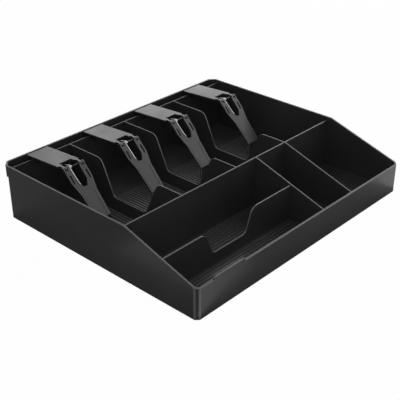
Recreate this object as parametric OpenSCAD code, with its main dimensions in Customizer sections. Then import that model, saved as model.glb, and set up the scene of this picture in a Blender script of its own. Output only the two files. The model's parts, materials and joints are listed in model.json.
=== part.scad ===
// Cash tray: one moulded tray with four note slots at the back and four coin bays at the front,
// and a sprung note clip over each note slot.
// The origin is the middle of the underside, +X to the right, +Y to the clips, +Z up.

/* [Tray shell] */
// Overall width
tray_w = 325; // [312:1:345]
// Overall depth, with the lip at the back
tray_d = 276; // [268:1:290]
// Height of the side and back rims
rim_h = 61; // [58:0.5:70]
// Height of the front wall
front_h = 33; // [28:0.5:42]
// Depth of the sloping part of the side rims, from the front face
slope_run = 91; // [70:1:105]
// Thickness of the outer walls
wall_t = 2; // [1.6:0.1:2.6]
// Thickness of the floor
floor_t = 2; // [1.4:0.1:3]
// Corner bevel at the front, along each wall
front_bevel = 3.6; // [2.4:0.1:8]
// Corner bevel at the back, along each wall
rear_bevel = 6.8; // [4:0.1:10]
// How far the back wall's upper lip stands out behind
lip_out = 3; // [1:0.1:4]
// Height of the lip
lip_h = 13; // [11:0.5:16]

/* [Front tab] */
// Length of the raised tab on the front wall
tab_w = 42; // [20:1:80]
// Height of the tab above the front rim
tab_h = 3; // [1:0.1:6]
// Distance of the tab from the left face
tab_in = 22.5; // [12:0.5:60]
// Radius of the tab's upper corners
tab_r = 2; // [0.5:0.1:3]

/* [Compartments] */
// Thickness of the walls behind and between the coin bays
divider_t = 1.6; // [1.2:0.1:2.6]
// Thickness of the walls between and behind the note slots
note_wall_t = 1.3; // [1:0.1:2.4]
// Distance of the inner walls' tops below the rim
divider_drop = 3.5; // [1:0.1:6]
// Clear depth of the coin bays
coin_d = 92.8; // [84:0.2:98]
// Clear width of the left coin bays
coin_left_w = 191; // [160:1:200]
// Distance of the coin walls' tops below the front rim, at the front
coin_drop = 5.5; // [2:0.1:9]
// Height of the wall across the left coin bays
cross_h = 41.5; // [32:0.5:46]
// Clear width of the channel behind the note slots
channel_w = 8; // [6.5:0.1:9]

/* [Finger cut-outs] */
// Width of a note wall's cut-out at its top
note_cut_top = 84.6; // [70:0.2:100]
// Width of a note wall's cut-out at its foot
note_cut_foot = 47.6; // [30:0.2:60]
// Height of a note wall at its cut-out
note_cut_z = 17; // [10:0.5:30]
// Distance of the cut-out's middle from the wall behind the coin bays
note_cut_mid = 75.4; // [65:0.1:85]
// Width of the coin wall's cut-out at its top
coin_cut_top = 69; // [56:0.5:90]
// Width of the coin wall's cut-out at its foot
coin_cut_foot = 48; // [30:0.5:54]
// Height of the coin wall at its cut-out
coin_cut_z = 15.5; // [8:0.5:24]
// Radius of the cut-outs' upper corners
cut_top_r = 10; // [4:0.5:16]
// Radius of the cut-outs' lower corners
cut_foot_r = 6; // [2:0.5:10]

/* [Floor ribs] */
// Pitch of the ribs on the note slots' floor
rib_pitch = 3.85; // [3.5:0.05:8]
// Pitch of the ribs on the coin bays' floor
coin_rib_pitch = 4.15; // [3.5:0.05:8]
// Width of a rib
rib_w = 1.6; // [0.8:0.1:2.4]
// Height of a rib above the floor
rib_h = 0.9; // [0.3:0.1:1.2]
// Least distance from a rib to a wall
rib_margin = 3; // [2:0.5:8]
// Length of the smooth floor at the back of a note slot
smooth_d = 47; // [10:1:60]

/* [Clip places] */
// Shift of the first clip from the middle of its note slot
clip_shift_1 = 2.5; // [-8:0.1:8]
// Shift of the second clip from the middle of its note slot
clip_shift_2 = -0.7; // [-8:0.1:8]
// Shift of the third clip from the middle of its note slot
clip_shift_3 = -3.9; // [-8:0.1:8]
// Shift of the fourth clip from the middle of its note slot
clip_shift_4 = -1; // [-8:0.1:8]

/* [Clip base] */
// Width of a note clip
clip_w = 27.4; // [26.8:0.1:32]
// Distance of the hinge in front of the channel's inner wall
hinge_reach = 50.9; // [44:0.1:54]
// Height of the hinge above the channel's inner wall
hinge_rise = 5.2; // [4.8:0.1:8]
// Radius of the hinge knuckles
knuckle_r = 2.2; // [2.1:0.05:2.8]
// Height of the knuckles above the plates that carry them
knuckle_proud = 0.3; // [0.15:0.05:0.5]
// Thickness of the top plate
plate_t = 2; // [1.6:0.1:2.3]
// Tilt of the top plate, rising to the hinge
plate_tilt = 3.7; // [2:0.1:4.4]
// Distance from the plate's back edge to the back wall
plate_gap = 1.4; // [0.6:0.1:2.5]
// Distance of the plate's front edge behind the hinge
plate_set = 7.2; // [4:0.1:8.4]
// Length of the slot between the ears, from the hinge
ear_slot = 12.8; // [10:0.2:16]
// Distance of the spring's ledge behind that slot
ledge_in = 8.2; // [6:0.2:12]
// Width of the ledge
ledge_w = 3; // [2:0.1:4]
// Step from the plates' edges to the knuckles, flanges and saddle
edge_step = 0.2; // [0.1:0.05:0.3]
// Distance of the side flanges in from the plate's sides
flange_in = 6.5; // [5:0.1:7]
// Thickness of the side flanges
flange_t = 2; // [1.4:0.1:2.4]
// Depth of the side flanges under the plate, at the back
flange_h = 5; // [4:0.5:8]
// Thickness of the saddle's front leg
saddle_leg_t = 4.2; // [3:0.1:6]
// Depth of the saddle's front leg below the top of the wall that it sits on
saddle_h = 7; // [4:0.5:10]
// Distance of the saddle's back leg above the step inside the lip
step_gap = 0.5; // [0.3:0.1:2]

/* [Clip arm] */
// Slope of the arm at rest
arm_slope = 46; // [38:0.5:52]
// Length of the arm from the hinge to its knee
arm_len = 60.5; // [54:0.5:64]
// Thickness of the arm
arm_t = 2.2; // [1.6:0.1:2.4]
// Distance from the hinge to the end of the shoulders
shoulder_s = 16.5; // [15:0.5:22]
// Distance from the hinge to the waist
waist_s = 32; // [27:0.5:36]
// Width of the arm at its waist
waist_w = 20.2; // [18:0.2:25]
// Width of the arm at its knee
knee_w = 18; // [14:0.2:21]
// Outer radius of the knee
knee_r = 3.5; // [3:0.1:6]
// Lean of the foot, from upright towards the back
foot_lean = 6; // [0:0.5:12]
// Width of the opening in the fork
fork_gap = 12; // [11:0.2:13]
// Distance from the hinge to the end of the opening
fork_end = 24.5; // [23.5:0.5:26]
// Width of the opening at its end
fork_end_w = 5; // [3:0.5:7]
// Length of the bevelled end of the opening
fork_bevel = 7; // [6:0.5:8]
// Width of the slot in each prong
prong_slot_w = 1.8; // [1:0.1:2.4]
// Distance from the hinge to the start of the prong slots
prong_slot_from = 8.6; // [7:0.2:12]
// Distance from the hinge to the end of the prong slots
prong_slot_to = 18.4; // [16:0.2:20]
// Width of the two raised beads along the arm
bead_w = 1.2; // [0.8:0.1:2]
// Height of the beads
bead_h = 0.4; // [0.3:0.1:0.8]
// Distance of the beads from the arm's edges
bead_in = 2; // [1:0.1:3]

/* [Hinge and spring] */
// Radius of the hinge pin
pin_r = 0.9; // [0.7:0.05:1]
// Width of an ear's knuckle
ear_knuckle_w = 2.9; // [2.4:0.1:3.3]
// Thickness of the arm's outer cheeks
cheek_t = 1.6; // [1.3:0.05:1.8]
// Thickness of the arm's inner cheeks
inner_cheek_t = 1.5; // [1.2:0.05:1.7]
// Clearance between pieces that turn against each other
turn_gap = 0.3; // [0.2:0.05:0.4]
// Radial clearance of the pin in the ears
ear_fit = 0.02; // [0.01:0.01:0.05]
// Radial clearance of the pin in the arm
arm_fit = 0.06; // [0.03:0.01:0.1]
// Clearance between the saddle and the wall that it sits on
saddle_gap = 0.25; // [0.15:0.05:0.4]
// Clearance between the foot and the floor ribs at rest
foot_gap = 0.4; // [0.3:0.1:1]
// Diameter of the spring wire
wire_d = 0.7; // [0.5:0.05:0.8]
// Radius of the spring's coil, at the middle of the wire
coil_r = 1.6; // [1.5:0.05:1.7]
// Pitch of the coil
coil_pitch = 1.25; // [1.2:0.05:1.4]
// Whole turns in the coil
coil_turns = 2; // [1:1:7]
// Distance from the hinge to the bend in the spring's moving leg
moving_s = 16.7; // [14:0.1:17.2]
// Length of the moving leg's tip, beyond the bend
tip_len = 4.3; // [3.5:0.1:5.5]
// Shift of the tip to the middle of the arm
tip_shift = 0.6; // [0.2:0.1:0.8]
// Clearance between the spring's legs and what they press on
leg_gap = 0.1; // [0.05:0.05:0.2]

/* [Hidden] */
clip_count = 4;

black = "#1d1d1f";
dark_grey = "#3a3a3d";
steel = "#c4c6c8";
over = 1;
arc_steps = 8;

// Places along the depth
front_y = -tray_d / 2;
back_y = tray_d / 2;
body_back_y = back_y - lip_out;
lip_z = rim_h - lip_h;
break_y = front_y + slope_run;
coin_front_y = front_y + wall_t;
mid_y = coin_front_y + coin_d;
note_front_y = mid_y + divider_t;
channel_back_y = back_y - wall_t;
note_back_y = channel_back_y - channel_w - note_wall_t;
cross_y = coin_front_y + (coin_d - divider_t) / 2;

// Places across the width
inner_w = tray_w - 2 * wall_t;
note_w = (inner_w - (clip_count - 1) * note_wall_t) / clip_count;
note_pitch = note_w + note_wall_t;
divider_z = rim_h - divider_drop;
coin_wall_x = -inner_w / 2 + coin_left_w;
last_wall_x = (clip_count / 2 - 1) * note_pitch - divider_t / 2;

// Places on a clip, with the hinge as its origin
hinge_y = note_back_y - hinge_reach;
hinge_z = divider_z + hinge_rise;
half_w = clip_w / 2;
ear_out = half_w - cheek_t - turn_gap;
ear_in = ear_out - ear_knuckle_w;
cheek_in = ear_in - turn_gap - inner_cheek_t;
plate_u = (channel_back_y - plate_gap - hinge_y) / cos(plate_tilt);
plate_top = knuckle_r - knuckle_proud;
plate_low = plate_top - plate_t;
wire_r = wire_d / 2;

function slot_x(i) = (i - (clip_count + 1) / 2) * note_pitch;
clip_shifts = [clip_shift_1, clip_shift_2, clip_shift_3, clip_shift_4];
function clip_x(i) = slot_x(i) + clip_shifts[i - 1];

// Outline with bevelled corners, the front pair and the back pair each with their own bevel
function bevelled(w, y0, y1, cf, cr) = [
    [-w / 2, y0 + cf], [-w / 2 + cf, y0], [w / 2 - cf, y0], [w / 2, y0 + cf],
    [w / 2, y1 - cr], [w / 2 - cr, y1], [-w / 2 + cr, y1], [-w / 2, y1 - cr]
];

// The bevel that leaves an even wall when an outline is moved in by t
function inner_bevel(c, t) = c - t * (2 - sqrt(2));

// Points of an arc, from angle a0 to angle a1
function arc(c, r, a0, a1) = [for (k = [0:arc_steps]) c + r * [
    cos(a0 + (a1 - a0) * k / arc_steps), sin(a0 + (a1 - a0) * k / arc_steps)]];

// One side of a cut-out, from the wall's top down to its foot, drawn about the cut-out's middle
function cut_side(top, foot, z_top, z_foot) = let (
    lean = atan2((top - foot) / 2, z_top - z_foot),
    turn = 90 - lean,
    top_run = cut_top_r * tan(turn / 2),
    foot_run = cut_foot_r * tan(turn / 2)
) concat(
    arc([top / 2 + top_run, z_top - cut_top_r], cut_top_r, 90, 90 + turn),
    arc([foot / 2 - foot_run, z_foot + cut_foot_r], cut_foot_r, -90 + turn, -90)
);

function mirrored(points) = [for (k = [len(points) - 1:-1:0]) [-points[k][0], points[k][1]]];

// Side view of a wall with a cut-out, from a0 to a1 along it
module cut_wall(a0, a1, mid, z_top, top, foot, z_foot) {
    side = cut_side(top, foot, z_top, z_foot);
    edge = [for (p = concat(side, mirrored(side))) p + [mid, 0]];
    polygon(concat([[a1, z_top]], edge, [[a0, z_top], [a0, 0], [a1, 0]]));
}

// Stands a side view upright: drawn along X at depth y, or along Y at width x
module along_x(y, t) translate([0, y + t, 0]) rotate([90, 0, 0]) linear_extrude(t) children();
module along_y(x, t) translate([x, 0, 0]) rotate([90, 0, 90]) linear_extrude(t) children();

module shell() {
    inner_front = inner_bevel(front_bevel, wall_t);
    inner_rear = inner_bevel(rear_bevel, wall_t);
    difference() {
        union() {
            linear_extrude(rim_h)
                polygon(bevelled(tray_w, front_y, body_back_y, front_bevel, rear_bevel));
            translate([0, 0, lip_z]) linear_extrude(lip_h)
                polygon(bevelled(tray_w, front_y, back_y, front_bevel, rear_bevel));
        }
        translate([0, 0, floor_t]) linear_extrude(rim_h)
            polygon(bevelled(inner_w, coin_front_y, body_back_y - wall_t, inner_front, inner_rear));
        translate([0, 0, lip_z + wall_t]) linear_extrude(rim_h)
            polygon(bevelled(inner_w, coin_front_y, channel_back_y, inner_front, inner_rear));
        along_y(-tray_w / 2 - over, tray_w + 2 * over)
            polygon([
                [front_y - over, front_h - over * (rim_h - front_h) / slope_run],
                [break_y, rim_h], [break_y, rim_h + over], [front_y - over, rim_h + over]
            ]);
    }
}

module front_tab() {
    x0 = -tray_w / 2 + tab_in;
    top = front_h + tab_h;
    along_x(front_y, wall_t)
        polygon(concat(
            [[x0, floor_t], [x0 + tab_w, floor_t]],
            arc([x0 + tab_w - tab_r, top - tab_r], tab_r, 0, 90),
            arc([x0 + tab_r, top - tab_r], tab_r, 90, 180)
        ));
}

// Walls that cross the tray: behind the coin bays and in front of the clip channel
module cross_walls() {
    translate([-tray_w / 2, mid_y, 0]) cube([tray_w, divider_t, divider_z]);
    translate([-tray_w / 2, note_back_y, 0]) cube([tray_w, note_wall_t, divider_z]);
}

module note_walls() {
    for (i = [1:clip_count - 1])
        along_y(slot_x(i) + note_w / 2, note_wall_t)
            cut_wall(mid_y, note_back_y + note_wall_t / 2, note_front_y + note_cut_mid, divider_z,
                note_cut_top, note_cut_foot, note_cut_z);
}

module coin_walls() {
    for (x = [coin_wall_x, last_wall_x])
        along_y(x, divider_t)
            polygon([
                [front_y, 0], [front_y, front_h - coin_drop], [coin_front_y, front_h - coin_drop],
                [mid_y, divider_z], [mid_y + divider_t / 2, divider_z], [mid_y + divider_t / 2, 0]
            ]);
    along_x(cross_y, divider_t)
        cut_wall(-tray_w / 2, coin_wall_x + divider_t / 2, (coin_wall_x - inner_w / 2) / 2,
            cross_h, coin_cut_top, coin_cut_foot, coin_cut_z);
}

// The inner walls end half way into the outer ones
module inner_walls() {
    intersection() {
        linear_extrude(rim_h)
            polygon(bevelled(tray_w - wall_t, front_y + wall_t / 2, body_back_y - wall_t / 2,
                inner_bevel(front_bevel, wall_t / 2), inner_bevel(rear_bevel, wall_t / 2)));
        union() {
            cross_walls();
            note_walls();
            coin_walls();
        }
    }
}

// Ribs on one stretch of floor, running along its depth, or across it
module floor_ribs(x0, x1, y0, y1, pitch, across) {
    run = (across ? y1 - y0 : x1 - x0) - 2 * rib_margin;
    count = floor(run / pitch);
    start = (run - count * pitch) / 2 + rib_margin;
    for (k = [0:count])
        translate(across
            ? [x0 + rib_margin, y0 + start + k * pitch - rib_w / 2, floor_t / 2]
            : [x0 + start + k * pitch - rib_w / 2, y0 + rib_margin, floor_t / 2])
            cube([
                across ? x1 - x0 - 2 * rib_margin : rib_w,
                across ? rib_w : y1 - y0 - 2 * rib_margin,
                floor_t / 2 + rib_h
            ]);
}

module all_floor_ribs() {
    for (i = [1:clip_count])
        floor_ribs(slot_x(i) - note_w / 2, slot_x(i) + note_w / 2, note_front_y, note_back_y - smooth_d,
            rib_pitch, false);
    for (y = [[coin_front_y, cross_y], [cross_y + divider_t, mid_y]])
        floor_ribs(-inner_w / 2, coin_wall_x, y[0], y[1], coin_rib_pitch, true);
    for (x = [[coin_wall_x + divider_t, last_wall_x], [last_wall_x + divider_t, inner_w / 2]])
        floor_ribs(x[0], x[1], coin_front_y, mid_y, coin_rib_pitch, true);
}

module tray_body() {
    color(black) {
        shell();
        front_tab();
        inner_walls();
        all_floor_ribs();
    }
}

// Puts a piece that is drawn about its hinge over note slot i
module over_slot(i) translate([clip_x(i), hinge_y, hinge_z]) children();

// A round bar along X
module rod(r, x0, x1) translate([x0, 0, 0]) rotate([0, 90, 0]) cylinder(r = r, h = x1 - x0, $fn = 30);

// The base's own slant: along the plate from the hinge to the back, and square to it
module on_plate() rotate([-plate_tilt, 0, 0]) children();

// Outline of the top plate with its two ears: X across, Y along the plate from the hinge to the back
module plate_outline() {
    slot = cheek_in + inner_cheek_t / 2;
    side = [
        [slot, ear_slot], [slot, plate_set],
        [ear_in + edge_step, plate_set], [ear_in + edge_step, 0],
        [ear_out - edge_step, 0], [ear_out - edge_step, plate_set],
        [half_w, plate_set], [half_w, plate_u]
    ];
    polygon(concat(side, mirrored(side)));
}

// Side view of the saddle that straddles the channel's inner wall, with the hinge as its origin
module saddle_view() {
    wall_y0 = hinge_reach;
    wall_y1 = wall_y0 + note_wall_t;
    top_slope = tan(plate_tilt);
    front = wall_y0 - saddle_gap - saddle_leg_t;
    back = channel_back_y - plate_gap - edge_step - hinge_y;
    seat = -hinge_rise;
    front_foot = seat - saddle_h;
    back_foot = lip_z + wall_t + step_gap - hinge_z;
    top = (plate_low + plate_t / 2) / cos(plate_tilt);
    polygon([
        [front, front_foot], [wall_y0 - saddle_gap, front_foot], [wall_y0 - saddle_gap, seat],
        [wall_y1 + saddle_gap, seat], [wall_y1 + saddle_gap, back_foot], [back, back_foot],
        [back, top - back * top_slope], [front, top - front * top_slope]
    ]);
}

// Side view of a flange, from behind the slot back into the saddle's front leg
module flange_view() {
    front = ear_slot + edge_step;
    back = hinge_reach - saddle_gap - saddle_leg_t / 2;
    ledge_low = ledge_n - plate_t - edge_step;
    polygon([
        [front, plate_low + plate_t / 2], [front, plate_low - plate_t / 2],
        [ledge_u - ledge_w, ledge_low], [ledge_u + ledge_w, ledge_low],
        [back - saddle_leg_t, plate_low - flange_h], [back, plate_low - flange_h],
        [back, plate_low + plate_t / 2]
    ]);
}

// The spring's fixed leg leaves the coil's top, dives under the plate and presses on a ledge
ledge_u = ear_slot + ledge_in;
leg_dive = atan2(coil_r - plate_low + wire_d + 2 * leg_gap, ear_slot);
fixed_dir = -plate_tilt - leg_dive;
fixed_len = ledge_u / cos(leg_dive);
ledge_n = coil_r / cos(leg_dive) - ledge_u * tan(leg_dive) - wire_r - leg_gap;

module clip_base() {
    flange_x = half_w - flange_in - flange_t;
    under_w = 2 * flange_x + flange_t;
    color(dark_grey) difference() {
        union() {
            on_plate() {
                translate([0, 0, plate_low]) linear_extrude(plate_t) plate_outline();
                for (x = [-flange_x - flange_t, flange_x])
                    along_y(x, flange_t) flange_view();
                translate([-under_w / 2, ledge_u - ledge_w / 2, ledge_n - plate_t])
                    cube([under_w, ledge_w, plate_t]);
            }
            for (x = [-ear_out, ear_in])
                rod(knuckle_r, x, x + ear_knuckle_w);
            along_y(-under_w / 2, under_w) saddle_view();
        }
        rod(pin_r + ear_fit, -half_w, half_w);
    }
}

// Outline of the arm's sloping plate: X across, Y along the arm away from the hinge
module arm_outline() {
    shoulder = half_w - edge_step;
    edge = [[shoulder, 0], [shoulder, shoulder_s], [waist_w / 2, waist_s], [knee_w / 2, arm_len]];
    opening = [
        [cheek_in, -over], [fork_gap / 2, knuckle_r + turn_gap],
        [fork_gap / 2, fork_end - fork_bevel], [fork_end_w / 2, fork_end]
    ];
    window = ear_knuckle_w + 2 * (turn_gap + edge_step);
    difference() {
        polygon(concat(edge, mirrored(edge)));
        polygon(concat(opening, mirrored(opening)));
        for (side = [-1, 1]) {
            translate([side * (ear_in + ear_out) / 2, 0])
                square([window, 2 * (knuckle_r + 2 * turn_gap)], center = true);
            translate([side * (ear_in + ear_out) / 2 - prong_slot_w / 2, prong_slot_from])
                square([prong_slot_w, prong_slot_to - prong_slot_from]);
        }
    }
}

// The arm's own slant: +Y along the arm to its knee, +Z out of its upper face
module on_arm() rotate([180 + arm_slope, 0, 0]) mirror([0, 0, 1]) children();

knee_turn = 90 + foot_lean - arm_slope;
knee_n = plate_top - knee_r;
toe_z = floor_t + rib_h + foot_gap + arm_t / 2 - hinge_z;
// Height of the middle of the foot's wall where the knee ends, from the hinge
foot_top_z = -arm_len * sin(arm_slope) + knee_n * cos(arm_slope)
    + (knee_r - arm_t / 2) * cos(arm_slope + knee_turn);
foot_len = (foot_top_z - toe_z) / sin(arm_slope + knee_turn);

// The knee, the foot and its round toe, drawn from the end of the sloping plate
module arm_foot() {
    knee = [arm_len, knee_n];
    out = 90 - knee_turn;
    foot_top = knee + (knee_r - arm_t / 2) * [cos(out), sin(out)];
    toe = foot_top + foot_len * [cos(knee_turn), -sin(knee_turn)];
    along_y(-knee_w / 2, knee_w)
        polygon(concat(
            arc(knee, knee_r, 90, out),
            arc(toe, arm_t / 2, out, out - 180),
            arc(knee, knee_r - arm_t, out, 90)
        ));
}

module arm_beads() {
    for (side = [-1, 1])
        translate([0, 0, plate_top - arm_t / 2]) linear_extrude(arm_t / 2 + bead_h)
            polygon([
                [side * (waist_w / 2 - bead_in), waist_s], [side * (waist_w / 2 - bead_in - bead_w), waist_s],
                [side * (knee_w / 2 - bead_in - bead_w), arm_len - bead_w],
                [side * (knee_w / 2 - bead_in), arm_len - bead_w]
            ]);
}

module clip_arm() {
    color(dark_grey) difference() {
        union() {
            on_arm() {
                translate([0, 0, plate_top - arm_t]) linear_extrude(arm_t) arm_outline();
                arm_beads();
                arm_foot();
            }
            for (x = [-half_w, half_w - cheek_t])
                rod(knuckle_r, x, x + cheek_t);
            for (x = [-cheek_in - inner_cheek_t, cheek_in])
                rod(knuckle_r, x, x + inner_cheek_t);
        }
        rod(pin_r + arm_fit, -half_w - over, half_w + over);
    }
}

module clip_pin() color(steel) rod(pin_r, -half_w, half_w);

// Places on the spring, which is drawn in the arm's and the plate's slants about the hinge
coil_x0 = -fork_gap / 2 + wire_r + leg_gap;
moving_n = plate_top + wire_r + leg_gap;
moving_rise = asin((moving_n - coil_r) / moving_s);
moving_dir = 180 + arm_slope - moving_rise;
coil_a0 = moving_dir - 90;
coil_a1 = fixed_dir + 90 - 360 * coil_turns;
curl_steps = 8;
coil_rings = round((coil_a0 - coil_a1) / 360 * curl_steps);
coil_x1 = coil_x0 + coil_pitch * (coil_a0 - coil_a1) / 360;
wire_sides = 6;

function slant(s, n, x) = [
    x, -s * cos(arm_slope) - n * sin(arm_slope), -s * sin(arm_slope) + n * cos(arm_slope)];
function on_coil(k) = let (a = coil_a0 + (coil_a1 - coil_a0) * k / coil_rings)
    [coil_x0 + (coil_x1 - coil_x0) * k / coil_rings, coil_r * cos(a), coil_r * sin(a)];

wire_path = concat(
    [slant(moving_s + tip_len, moving_n, coil_x0 + tip_shift), slant(moving_s, moving_n, coil_x0)],
    [for (k = [0:coil_rings]) on_coil(k)],
    [on_coil(coil_rings) + fixed_len * [0, cos(fixed_dir), sin(fixed_dir)]]
);

// A tube along a path whose bends lie near the YZ plane
function unit(v) = v / norm(v);
function heading(path, k) =
    unit(path[min(k + 1, len(path) - 1)] - path[max(k - 1, 0)]);
function ring(path, k, r) = let (
    t = heading(path, k),
    a = unit([0, -t[2], t[1]]),
    b = cross(t, a)
) [for (j = [0:wire_sides - 1]) let (turn = 360 * j / wire_sides)
    path[k] + r * (cos(turn) * a + sin(turn) * b)];

module tube(path, r) {
    last = len(path) - 1;
    points = concat([for (k = [0:last], p = ring(path, k, r)) p], [path[0], path[last]]);
    sides = [for (k = [0:last - 1], j = [0:wire_sides - 1]) let (
        a = k * wire_sides + j,
        b = k * wire_sides + (j + 1) % wire_sides
    ) each [[a, a + wire_sides, b], [b, a + wire_sides, b + wire_sides]]];
    first_cap = [for (j = [0:wire_sides - 1]) [(last + 1) * wire_sides, j, (j + 1) % wire_sides]];
    last_cap = [for (j = [0:wire_sides - 1]) [
        (last + 1) * wire_sides + 1, last * wire_sides + (j + 1) % wire_sides, last * wire_sides + j]];
    polyhedron(points, concat(sides, first_cap, last_cap));
}

// Least gap of the wire to itself, over points at least half a turn apart
wire_gap = min([for (i = [0:len(wire_path) - 1], j = [i + curl_steps / 2:1:len(wire_path) - 1])
    norm(wire_path[i] - wire_path[j])]) - wire_d;
echo(spring_least_gap_to_itself = wire_gap);

module clip_spring() color(steel) tube(wire_path, wire_r);

tray_body();
for (i = [1:clip_count]) {
    over_slot(i) clip_base();
    over_slot(i) clip_arm();
    over_slot(i) clip_pin();
    over_slot(i) clip_spring();
}
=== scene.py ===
"""Cash tray of black moulded plastic with four sprung note clips, dressed around its CAD frame.

Metres, in the frame of the CAD: +X right, +Y to the clips, +Z up.
"""
import json
import math

import bpy
from mathutils import Matrix, Vector


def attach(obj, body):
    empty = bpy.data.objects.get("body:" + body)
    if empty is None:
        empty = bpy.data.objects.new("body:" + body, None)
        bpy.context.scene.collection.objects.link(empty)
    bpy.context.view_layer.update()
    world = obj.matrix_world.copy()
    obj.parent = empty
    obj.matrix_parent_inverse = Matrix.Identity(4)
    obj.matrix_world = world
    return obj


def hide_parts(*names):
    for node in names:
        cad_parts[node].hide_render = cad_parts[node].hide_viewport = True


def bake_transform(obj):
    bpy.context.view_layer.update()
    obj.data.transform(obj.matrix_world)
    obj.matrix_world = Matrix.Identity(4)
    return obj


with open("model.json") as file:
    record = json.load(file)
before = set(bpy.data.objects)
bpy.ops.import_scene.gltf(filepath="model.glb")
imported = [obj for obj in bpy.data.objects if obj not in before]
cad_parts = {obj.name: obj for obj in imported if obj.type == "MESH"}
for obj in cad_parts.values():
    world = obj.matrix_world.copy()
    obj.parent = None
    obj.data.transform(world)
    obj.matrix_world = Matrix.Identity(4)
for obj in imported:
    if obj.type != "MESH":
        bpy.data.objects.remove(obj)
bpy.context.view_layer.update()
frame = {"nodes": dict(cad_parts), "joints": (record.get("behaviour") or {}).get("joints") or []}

# Clips, numbered from the left
CLIPS = (1, 2, 3, 4)

# Places on the tray: past CORNER_X and CORNER_Y lie its outer corners and walls, and behind
# CUTS_BACK no wall has a finger cut-out
CORNER_X = 0.155
CORNER_Y = 0.13
FLOOR_RIB_FOOT = 0.0022
FLOOR_RIB_TOP = 0.003
COIN_BAYS_BACK = -0.042
SHORT_BAYS_LEFT = 0.0315
CUTS_BACK = 0.1

# Places on a clip: the top of the arm's foot, and two distances from the hinge's line
FOOT_TOP = 0.016
PIN_HOLE = 0.0013
KNUCKLE_REACH = 0.0027

# How a copy of a CAD node gets whole flat faces
MERGE_DISTANCE = 1e-6
FLAT_ANGLE = math.radians(0.5)

# Rounded edges: their widths, and how much room the faces beside an edge leave for one
CORNER_EDGE = 0.0012
TRAY_EDGE = 0.0003
RIB_EDGE = 0.0002
CLIP_EDGE = 0.0002
KNUCKLE_EDGE = 0.00008
FOOT_EDGE = 0.0006
EDGE_STEPS = 2
ROUNDED_SLOT = 1
SHARP_ANGLE = math.radians(28)
STRAIGHT_ON = math.cos(math.radians(40))
ROOM_SHARE = 0.42
SMOOTH_ANGLE = math.radians(50)
FLAT_FACE_WEIGHT = 100

# Painted light on a face: 0 is the plastic's own colour, 1 its painted light colour, and above 1 paler
# still. On rounded edges, outer corners, finger cut-outs, rib tops and the arms' outer sides it is a painted
# highlight, and on the ends of the front tab and the faces of the clips' feet it is painted light over their
# shade
PAINTED_LIGHT = "painted_light_share"
EDGE_HIGHLIGHT = 0.5
CORNER_HIGHLIGHT = 1.0
CUT_HIGHLIGHT = 1.0
# Painted light over the shade at the ends of the front tab
TAB_END_LIGHTENING = 1.0
NOTE_RIB_HIGHLIGHT = 0.8
COIN_RIB_HIGHLIGHT = 0.15
# Painted light over the shade on the clips' feet, and painted highlights on the sides of the feet and arms
FOOT_FACE_LIGHTENING = 0.3
FOOT_SIDE_HIGHLIGHT = 4.0
ARM_SIDE_HIGHLIGHT = 2.0

# Which way a face or an edge lies, as a share of its normal or its length
UPRIGHT = 0.1
SIDEWAYS = 0.3
CUT_STEEPEST = 0.1
CUT_FLATTEST = 0.85

# The clips' springs: the wire, its coil on the pin, and its two legs
WIRE_RADIUS = 0.00035
WIRE_ROUNDNESS = 3
COIL_RADIUS = 0.0016
COIL_PITCH = 0.00125
COIL_TURNS = 2
COIL_LEFT = -0.00555
COIL_STEPS_A_TURN = 24
HINGE_HEIGHT_OVER_ARM = 0.00235
ARM_SLOPE = math.radians(46)
PLATE_TILT = math.radians(3.7)
MOVING_LEG = 0.0167
MOVING_LEG_TIP = 0.021
MOVING_LEG_TIP_SHIFT = 0.0006
FIXED_LEG_FALL, FIXED_LEG_FALL_RUN = 0.0026, 0.0128
FIXED_LEG_RUN = 0.021
FIXED_LEG_DIVE = math.atan2(FIXED_LEG_FALL, FIXED_LEG_FALL_RUN)
FIXED_LEG = FIXED_LEG_RUN / math.cos(FIXED_LEG_DIVE)

# Kinds of socket on a node group
VALUE = "NodeSocketFloat"
COLOUR = "NodeSocketColor"

# The photograph's camera
CAMERA_PLACE = (-0.600049, -0.546888, 0.461801)
CAMERA_AZIMUTH = math.radians(-47.192)
CAMERA_ELEVATION = math.radians(29.513)
CAMERA_ROLL = math.radians(-0.167)
CAMERA_LENS = 76.915
CAMERA_NEAR, CAMERA_FAR = 0.01, 50.0
SENSOR = 36.0

# The paper floor, a hair under the tray, and the share of pure white that the camera sees on it
FLOOR_SIZE = 12.0
FLOOR_DROP = 0.0001
PAPER_WHITE = 0.985
AMBIENT = 0.23

# Panels that show in reflections only, and softboxes that show in none:
# place, aim, width, height and watts
PANELS = {
    "back_panel": ((1.28, 1.2, 0.44), (0.05, 0.05, 0.04), 1.3, 0.54, 4.3),
    "right_panel": ((1.15, 0.2, 1.1), (0.0, -0.05, 0.04), 1.2, 0.9, 4.6),
    "front_panel": ((1.0, -1.15, 0.22), (0.0, 0.0, 0.03), 1.2, 0.4, 5.0),
    "arm_panel": ((0.96, -0.47, 0.71), (0.12, 0.05, 0.04), 0.5, 0.4, 1.0),
}
SOFTBOXES = {
    "key_softbox": ((1.351, 0.413, 0.751), (0, 0, 0), 0.6, 0.6, 16.0),
    "fill_softbox": ((-0.85, -0.8, 1.05), (0, 0, 0), 1.0, 1.0, 3.6),
}

# Lit cards on the table: middle, width, depth, turn in degrees and brightness
CARD_HEIGHT = 0.001
CARDS = {
    "front_right_card": ((0.212, -0.17), 0.096, 0.06, 0, 0.8),
    "front_left_card": ((-0.114, -0.1735), 0.115, 0.04, -15, 0.52),
    "left_card": ((-0.218, -0.0525), 0.044, 0.105, 0, 0.36),
}


def deselect_all():
    if bpy.context.mode != "OBJECT":
        bpy.ops.object.mode_set(mode="OBJECT")
    bpy.ops.object.select_all(action="DESELECT")


def make_active(piece):
    deselect_all()
    piece.select_set(True)
    bpy.context.view_layer.objects.active = piece


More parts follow.
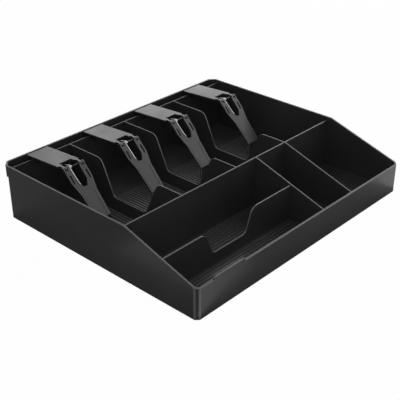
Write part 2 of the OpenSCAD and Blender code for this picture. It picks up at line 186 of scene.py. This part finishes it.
def apply_all_modifiers(piece):
    make_active(piece)
    for modifier in list(piece.modifiers):
        bpy.ops.object.modifier_apply(modifier=modifier.name)


def put_material(piece, material):
    piece.data.materials.clear()
    piece.data.materials.append(material)
    for face in piece.data.polygons:
        face.material_index = 0


def merged_copy(node, name):
    """A copy of a CAD node as one closed mesh of whole flat faces."""
    source = frame["nodes"][node]
    piece = source.copy()
    piece.data = source.data.copy()
    piece.name = name
    piece.data.name = name
    piece.parent = None
    piece.matrix_world = Matrix.Identity(4)
    bpy.context.scene.collection.objects.link(piece)
    make_active(piece)
    bpy.ops.object.mode_set(mode="EDIT")
    bpy.ops.mesh.select_all(action="SELECT")
    bpy.ops.mesh.remove_doubles(threshold=MERGE_DISTANCE)
    bpy.ops.mesh.dissolve_limited(angle_limit=FLAT_ANGLE, delimit={"NORMAL"})
    bpy.ops.object.mode_set(mode="OBJECT")
    bpy.ops.mesh.customdata_custom_splitnormals_clear()
    return piece


def faces_beside_edges(mesh):
    """For each edge, its faces, each with the direction that leads from the edge into the face."""
    beside = {}
    for face in mesh.polygons:
        corners = list(face.vertices)
        for a, b in zip(corners, corners[1:] + corners[:1]):
            along = (mesh.vertices[b].co - mesh.vertices[a].co).normalized()
            beside.setdefault((min(a, b), max(a, b)), []).append((face, face.normal.cross(along)))
    return beside


def stands_out(sides):
    """Whether an edge is sharp and stands out, as against one in a corner of two walls."""
    if len(sides) != 2:
        return False
    (a, _), (b, into_b) = sides
    return a.normal.angle(b.normal, 0.0) > SHARP_ANGLE and into_b.dot(a.normal) < 0


def room_at_edge(mesh, edge, sides, edges_at):
    """How far an edge can be rounded before it meets the next edge beside it."""
    a, b = (mesh.vertices[v].co for v in edge.vertices)
    along = (b - a).normalized()
    widths = [max((mesh.vertices[v].co - a).dot(into) for v in face.vertices) for face, into in sides]
    for corner in edge.vertices:
        for other in edges_at[corner]:
            run = mesh.vertices[other.vertices[1]].co - mesh.vertices[other.vertices[0]].co
            if abs(run.normalized().dot(along)) < STRAIGHT_ON:
                widths.append(run.length)
    return ROOM_SHARE * min(widths)


def rounding_of_edges(mesh, width_of_edge):
    """The width of each edge's rounding, 0 where the edge stays sharp."""
    beside = faces_beside_edges(mesh)
    edges_at = {}
    for edge in mesh.edges:
        for corner in edge.vertices:
            edges_at.setdefault(corner, []).append(edge)
    widths = []
    for edge in mesh.edges:
        sides = beside[tuple(sorted(edge.vertices))]
        width = 0.0
        if stands_out(sides):
            wanted = width_of_edge(*(mesh.vertices[v].co for v in edge.vertices))
            width = min(wanted, room_at_edge(mesh, edge, sides, edges_at))
        widths.append(width)
    return widths


def round_edges(piece, width_of_edge, light_paint_of_face, plastic):
    """Rounds the outward edges, and notes on every face how much painted light, as highlight or as lifted
    shade, it gets.

    The rounded faces are in the second material slot until their painted light is noted.
    """
    mesh = piece.data
    mesh.materials.clear()
    for _ in range(ROUNDED_SLOT + 1):
        mesh.materials.append(plastic)
    widths = rounding_of_edges(mesh, width_of_edge)
    widest = max(widths)
    weights = mesh.attributes.new("bevel_weight_edge", "FLOAT", "EDGE")
    weights.data.foreach_set("value", [width / widest for width in widths])
    bevel = piece.modifiers.new("rounded_edges", "BEVEL")
    bevel.width = widest
    bevel.segments = EDGE_STEPS
    bevel.limit_method = "WEIGHT"
    bevel.material = ROUNDED_SLOT
    bevel.use_clamp_overlap = False
    apply_all_modifiers(piece)
    # Painted light: each face's share of the paler colour that stands in for highlights and lifted shade
    painted_lightening = mesh.attributes.new(PAINTED_LIGHT, "FLOAT", "FACE")
    painted_lightening.data.foreach_set("value", [light_paint_of_face(face) for face in mesh.polygons])
    put_material(piece, plastic)
    bpy.ops.object.shade_smooth_by_angle(angle=SMOOTH_ANGLE)
    flat = piece.modifiers.new("flat_faces", "WEIGHTED_NORMAL")
    flat.weight = FLAT_FACE_WEIGHT
    flat.keep_sharp = True
    apply_all_modifiers(piece)


def tray_edge_width(a, b):
    upright = (a - b).xy.length < UPRIGHT * abs(a.z - b.z)
    if max(a.z, b.z) < FLOOR_RIB_TOP:
        return 0.0 if upright else RIB_EDGE
    if upright and abs(a.x) > CORNER_X and abs(a.y) > CORNER_Y:
        return CORNER_EDGE
    return TRAY_EDGE


def tray_painted_light(face):
    """How much painted light a face of the tray gets.

    That is painted highlights on the tops of the floor ribs, the finger cut-outs, the rounded edges, and
    most of all the upright ones at the outer corners, and painted light over the shade at the ends of the
    front tab.
    """
    if FLOOR_RIB_FOOT < face.center.z < FLOOR_RIB_TOP and face.normal.z > 0:
        if face.center.y > COIN_BAYS_BACK:
            return NOTE_RIB_HIGHLIGHT
        return 0.0 if face.center.x > SHORT_BAYS_LEFT else COIN_RIB_HIGHLIGHT
    if face.material_index != ROUNDED_SLOT:
        if abs(face.center.x) > CORNER_X or face.center.y > CUTS_BACK:
            return 0.0
        if face.center.y < -CORNER_Y:
            return TAB_END_LIGHTENING if abs(face.normal.x) > SIDEWAYS else 0.0
        return CUT_HIGHLIGHT if CUT_STEEPEST < face.normal.z < CUT_FLATTEST else 0.0
    at_corner = abs(face.center.x) > CORNER_X and abs(face.center.y) > CORNER_Y
    return CORNER_HIGHLIGHT if at_corner and abs(face.normal.z) < UPRIGHT else EDGE_HIGHLIGHT


def make_tray(plastic):
    tray = merged_copy("tray_body", "tray_moulding")
    round_edges(tray, tray_edge_width, tray_painted_light, plastic)
    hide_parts("tray_body")
    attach(tray, "tray")


def hinge_of(number):
    joint = next(j for j in frame["joints"] if j["name"] == f"clip_{number}_lift")
    return Vector(joint["pos_m"])


def make_clip_half(half, number, body, plastic):
    """A clip's fixed base or its moving arm, with its edges rounded, painted highlights on its edges and the
    arm's outer sides, and painted light over the shade of its foot.
    """
    piece = merged_copy(f"clip_{half}_{number}", f"clip_{half}_{number}_moulding")
    hinge = hinge_of(number)

    def clip_edge_width(a, b):
        reach = ((a + b) / 2 - hinge).yz.length
        if reach < PIN_HOLE:
            return 0.0
        if max(a.z, b.z) < FOOT_TOP:
            return FOOT_EDGE
        return KNUCKLE_EDGE if reach < KNUCKLE_REACH else CLIP_EDGE

    # Painted light: highlights on rounded edges and the arm's outer sides, and lifted shade on the foot's
    # faces
    def clip_painted_light(face):
        at_foot = face.center.z < FOOT_TOP
        if face.material_index != ROUNDED_SLOT:
            return FOOT_FACE_LIGHTENING if at_foot else 0.0
        outward = face.normal.x * (1 if face.center.x > hinge.x else -1)
        if half == "arm" and outward > SIDEWAYS:
            return FOOT_SIDE_HIGHLIGHT if at_foot else ARM_SIDE_HIGHLIGHT
        return EDGE_HIGHLIGHT

    round_edges(piece, clip_edge_width, clip_painted_light, plastic)
    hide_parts(f"clip_{half}_{number}")
    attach(piece, body)


def spring_route(hinge):
    """Points along a spring's wire, from the tip on the arm, round the pin, to the tip under the plate."""
    def on_arm(along, above, across):
        return hinge + Vector((
            across,
            -along * math.cos(ARM_SLOPE) - above * math.sin(ARM_SLOPE),
            -along * math.sin(ARM_SLOPE) + above * math.cos(ARM_SLOPE)))

    rise = math.asin((HINGE_HEIGHT_OVER_ARM - COIL_RADIUS) / MOVING_LEG)
    first = math.pi + ARM_SLOPE - rise - math.pi / 2
    fixed_heading = -PLATE_TILT - FIXED_LEG_DIVE
    last = fixed_heading + math.pi / 2 - 2 * math.pi * COIL_TURNS
    turns = (first - last) / (2 * math.pi)
    steps = round(turns * COIL_STEPS_A_TURN)
    route = [
        on_arm(MOVING_LEG_TIP, HINGE_HEIGHT_OVER_ARM, COIL_LEFT + MOVING_LEG_TIP_SHIFT),
        on_arm(MOVING_LEG, HINGE_HEIGHT_OVER_ARM, COIL_LEFT),
    ]
    for step in range(steps + 1):
        share = step / steps
        angle = first + (last - first) * share
        route.append(hinge + Vector((
            COIL_LEFT + COIL_PITCH * turns * share,
            COIL_RADIUS * math.cos(angle),
            COIL_RADIUS * math.sin(angle))))
    route.append(route[-1] + FIXED_LEG * Vector((0, math.cos(fixed_heading), math.sin(fixed_heading))))
    return route


def make_spring(number, steel):
    """A clip's spring as round wire, from its leg on the arm round the pin to its leg under the plate."""
    hinge = hinge_of(number)
    route = spring_route(hinge)
    wire = bpy.data.curves.new(f"clip_spring_{number}_wire", "CURVE")
    wire.dimensions = "3D"
    wire.bevel_depth = WIRE_RADIUS
    wire.bevel_resolution = WIRE_ROUNDNESS
    wire.use_fill_caps = True
    spline = wire.splines.new("POLY")
    spline.points.add(len(route) - 1)
    for point, place in zip(spline.points, route):
        point.co = (*place, 1.0)
    spring = bpy.data.objects.new(f"clip_spring_{number}_wire", wire)
    bpy.context.scene.collection.objects.link(spring)
    make_active(spring)
    bpy.ops.object.convert(target="MESH")
    bpy.ops.object.shade_smooth_by_angle(angle=SMOOTH_ANGLE)
    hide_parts(f"clip_spring_{number}")
    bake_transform(spring)
    put_material(spring, steel)


def set_values(node, values):
    for socket, value in values.items():
        node.inputs[socket].default_value = value


def new_group(name, inputs, outputs):
    """A node group with these named sockets, and the nodes for what goes in and what comes out."""
    group = bpy.data.node_groups.new(name, "ShaderNodeTree")
    for in_out, sockets in (("INPUT", inputs), ("OUTPUT", outputs)):
        for socket, kind in sockets.items():
            group.interface.new_socket(socket, in_out=in_out, socket_type=kind)
    return group, group.nodes.new("NodeGroupInput"), group.nodes.new("NodeGroupOutput")


def moulded_grain_group():
    """The fine grain of a sparked mould, with a slow drift of gloss and shade over it."""
    group, given, result = new_group(
        "moulded_grain",
        {"Grain Size": VALUE, "Roughness Low": VALUE, "Roughness High": VALUE},
        {"Height": VALUE, "Shade": VALUE, "Roughness": VALUE})
    nodes, links = group.nodes, group.links
    place = nodes.new("ShaderNodeTexCoord")
    grain = nodes.new("ShaderNodeTexNoise")
    set_values(grain, {"Detail": 2.0, "Roughness": 0.6})
    drift = nodes.new("ShaderNodeTexNoise")
    set_values(drift, {"Scale": 22.0, "Detail": 3.0})
    gloss = nodes.new("ShaderNodeMapRange")
    set_values(gloss, {"From Min": 0.35, "From Max": 0.65})
    links.new(place.outputs["Object"], grain.inputs["Vector"])
    links.new(place.outputs["Object"], drift.inputs["Vector"])
    links.new(given.outputs["Grain Size"], grain.inputs["Scale"])
    links.new(drift.outputs["Fac"], gloss.inputs["Value"])
    links.new(given.outputs["Roughness Low"], gloss.inputs["To Min"])
    links.new(given.outputs["Roughness High"], gloss.inputs["To Max"])
    links.new(grain.outputs["Fac"], result.inputs["Height"])
    links.new(drift.outputs["Fac"], result.inputs["Shade"])
    links.new(gloss.outputs["Result"], result.inputs["Roughness"])
    return group


def painted_light_group():
    """Paints light into the plastic's colour: takes it towards a paler colour as far as the face's share of
    painted light says, as highlights on edges and lifted shade.
    """
    group, given, result = new_group(
        "painted_light_mix", {"Colour": COLOUR, "Painted Light Colour": COLOUR}, {"Colour": COLOUR})
    nodes, links = group.nodes, group.links
    light_share = nodes.new("ShaderNodeAttribute")
    light_share.attribute_name = PAINTED_LIGHT
    lightened = nodes.new("ShaderNodeMix")
    lightened.data_type = "RGBA"
    lightened.clamp_factor = False
    links.new(light_share.outputs["Fac"], lightened.inputs["Factor"])
    links.new(given.outputs["Colour"], lightened.inputs["A"])
    links.new(given.outputs["Painted Light Colour"], lightened.inputs["B"])
    links.new(lightened.outputs["Result"], result.inputs["Colour"])
    return group


def place_group(nodes, group, values):
    placed = nodes.new("ShaderNodeGroup")
    placed.node_tree = group
    set_values(placed, values)
    return placed


def new_material(name):
    material = bpy.data.materials.new(name)
    material.use_nodes = True
    nodes = material.node_tree.nodes
    return material, nodes, material.node_tree.links, nodes["Principled BSDF"]


def two_shades(nodes, links, texture, dark, light):
    """A colour that drifts between two shades as the grain's group says."""
    colour = nodes.new("ShaderNodeMix")
    colour.data_type = "RGBA"
    set_values(colour, {"A": (*dark, 1.0), "B": (*light, 1.0)})
    links.new(texture.outputs["Shade"], colour.inputs["Factor"])
    return colour.outputs["Result"]


def moulded_plastic(name, grain, light_paint, dark, light, painted_lightening, roughness, specular, grain_size):
    material, nodes, links, shader = new_material(name)
    low, high = roughness
    texture = place_group(
        nodes, grain, {"Grain Size": grain_size, "Roughness Low": low, "Roughness High": high})
    # Painted light: the colour goes towards the paler painted light colour by each face's share, as
    # highlights and lifted shade
    lightened = place_group(nodes, light_paint, {"Painted Light Colour": (*painted_lightening, 1.0)})
    bump = nodes.new("ShaderNodeBump")
    set_values(bump, {"Strength": 0.12, "Distance": 0.0001})
    links.new(two_shades(nodes, links, texture, dark, light), lightened.inputs["Colour"])
    links.new(lightened.outputs["Colour"], shader.inputs["Base Color"])
    links.new(texture.outputs["Roughness"], shader.inputs["Roughness"])
    links.new(texture.outputs["Height"], bump.inputs["Height"])
    links.new(bump.outputs["Normal"], shader.inputs["Normal"])
    set_values(shader, {"Specular IOR Level": specular})
    return material


def drawn_steel(name, grain, dark, light, roughness):
    material, nodes, links, shader = new_material(name)
    low, high = roughness
    texture = place_group(nodes, grain, {"Roughness Low": low, "Roughness High": high})
    links.new(two_shades(nodes, links, texture, dark, light), shader.inputs["Base Color"])
    links.new(texture.outputs["Roughness"], shader.inputs["Roughness"])
    set_values(shader, {"Metallic": 1.0})
    return material


def seen_by(nodes, links, *kinds):
    """1 for a ray of any of these kinds, and 0 for the others."""
    rays = nodes.new("ShaderNodeLightPath")
    seen = rays.outputs[kinds[0]]
    for kind in kinds[1:]:
        either = nodes.new("ShaderNodeMath")
        either.operation = "MAXIMUM"
        links.new(seen, either.inputs[0])
        links.new(rays.outputs[kind], either.inputs[1])
        seen = either.outputs["Value"]
    return seen


def light_world():
    """White where it is seen, also in a reflection or through glass, and a dim light on surfaces."""
    world = bpy.data.worlds.new("white_studio")
    bpy.context.scene.world = world
    world.use_nodes = True
    nodes, links = world.node_tree.nodes, world.node_tree.links
    background = nodes["Background"]
    set_values(background, {"Color": (1.0, 1.0, 1.0, 1.0)})
    strength = nodes.new("ShaderNodeMapRange")
    set_values(strength, {"To Min": AMBIENT, "To Max": 1.0})
    white = seen_by(nodes, links, "Is Camera Ray", "Is Glossy Ray", "Is Transmission Ray")
    links.new(white, strength.inputs["Value"])
    links.new(strength.outputs["Result"], background.inputs["Strength"])


def lay_floor():
    """Grey paper that the camera sees as white, and that is clear from below.

    The tray's walls mirror the paper as it is, with the tray's shadow on it.
    """
    deselect_all()
    bpy.ops.mesh.primitive_plane_add(size=FLOOR_SIZE, location=(0, 0, -FLOOR_DROP))
    floor = bpy.context.active_object
    floor.name = "studio_floor"
    material, nodes, links, paper = new_material("studio_paper")
    set_values(paper, {"Base Color": (0.4, 0.4, 0.4, 1.0), "Roughness": 0.9})
    glow = nodes.new("ShaderNodeEmission")
    set_values(glow, {"Color": (1.0, 1.0, 1.0, 1.0)})
    share = nodes.new("ShaderNodeMath")
    share.operation = "MULTIPLY"
    share.inputs[1].default_value = PAPER_WHITE
    lit = nodes.new("ShaderNodeMixShader")
    links.new(seen_by(nodes, links, "Is Camera Ray", "Is Transmission Ray"), share.inputs[0])
    links.new(share.outputs["Value"], lit.inputs["Fac"])
    links.new(paper.outputs["BSDF"], lit.inputs[1])
    links.new(glow.outputs["Emission"], lit.inputs[2])
    side = nodes.new("ShaderNodeNewGeometry")
    clear = nodes.new("ShaderNodeBsdfTransparent")
    one_sided = nodes.new("ShaderNodeMixShader")
    links.new(side.outputs["Backfacing"], one_sided.inputs["Fac"])
    links.new(lit.outputs["Shader"], one_sided.inputs[1])
    links.new(clear.outputs["BSDF"], one_sided.inputs[2])
    links.new(one_sided.outputs["Shader"], nodes["Material Output"].inputs["Surface"])
    floor.data.materials.append(material)


def add_lamp(name, place, width, height, watts):
    light = bpy.data.lights.new(name, "AREA")
    light.shape = "RECTANGLE"
    light.size = width
    light.size_y = height
    light.energy = watts
    lamp = bpy.data.objects.new(name, light)
    lamp.location = place
    lamp.visible_camera = False
    bpy.context.scene.collection.objects.link(lamp)
    return lamp


def add_softbox(name, place, target, width, height, watts):
    lamp = add_lamp(name, place, width, height, watts)
    lamp.rotation_mode = "QUATERNION"
    lamp.rotation_quaternion = (Vector(target) - Vector(place)).to_track_quat("-Z", "Y")
    return lamp


def lay_card(name, middle, width, depth, turn, brightness):
    """A lit card on the table beside the tray, that the tray's outer walls mirror."""
    watts = brightness * math.pi * width * depth
    lamp = add_lamp(name, (*middle, CARD_HEIGHT), width, depth, watts)
    lamp.rotation_euler = (math.pi, 0, math.radians(turn))


def light_studio():
    light_world()
    lay_floor()
    for name, panel in PANELS.items():
        add_softbox(name, *panel).visible_diffuse = False
    for name, softbox in SOFTBOXES.items():
        add_softbox(name, *softbox).visible_glossy = False
    for name, card in CARDS.items():
        lay_card(name, *card)


def set_camera():
    camera = bpy.data.cameras.new("photo_camera")
    camera.sensor_width = SENSOR
    camera.sensor_fit = "HORIZONTAL"
    camera.lens = CAMERA_LENS
    camera.clip_start = CAMERA_NEAR
    camera.clip_end = CAMERA_FAR
    view = bpy.data.objects.new("photo_camera", camera)
    view.matrix_world = (
        Matrix.Translation(CAMERA_PLACE)
        @ Matrix.Rotation(CAMERA_AZIMUTH, 4, "Z")
        @ Matrix.Rotation(math.pi / 2 - CAMERA_ELEVATION, 4, "X")
        @ Matrix.Rotation(CAMERA_ROLL, 4, "Z"))
    bpy.context.scene.collection.objects.link(view)
    bpy.context.scene.camera = view


def dress_tray():
    grain = moulded_grain_group()
    light_paint = painted_light_group()
    # The paler third colour of each plastic is painted light: highlights on edges and ribs, and lifted shade
    # on the feet and tab ends
    tray_plastic = moulded_plastic(
        "tray_plastic_black", grain, light_paint,
        dark=(0.034, 0.034, 0.035), light=(0.04, 0.04, 0.041), painted_lightening=(0.15, 0.15, 0.153),
        roughness=(0.3, 0.38), specular=0.52, grain_size=1100.0)
    clip_plastic = moulded_plastic(
        "clip_plastic_black", grain, light_paint,
        dark=(0.016, 0.016, 0.0185), light=(0.022, 0.022, 0.0255), painted_lightening=(0.16, 0.16, 0.165),
        roughness=(0.36, 0.46), specular=0.54, grain_size=1400.0)
    spring_steel = drawn_steel(
        "drawn_steel", grain, dark=(0.5, 0.51, 0.52), light=(0.72, 0.73, 0.74), roughness=(0.16, 0.3))
    pin_steel = drawn_steel(
        "blackened_steel", grain, dark=(0.015, 0.015, 0.016), light=(0.03, 0.03, 0.032),
        roughness=(0.16, 0.3))
    make_tray(tray_plastic)
    put_material(frame["nodes"]["tray_body"], tray_plastic)
    for number in CLIPS:
        make_clip_half("base", number, "tray", clip_plastic)
        make_clip_half("arm", number, f"arm_{number}", clip_plastic)
        make_spring(number, spring_steel)
        for kind, finish in (
                ("base", clip_plastic), ("arm", clip_plastic), ("spring", spring_steel), ("pin", pin_steel)):
            put_material(frame["nodes"][f"clip_{kind}_{number}"], finish)


dress_tray()
light_studio()
set_camera()
bpy.context.scene.view_settings.view_transform = "Standard"
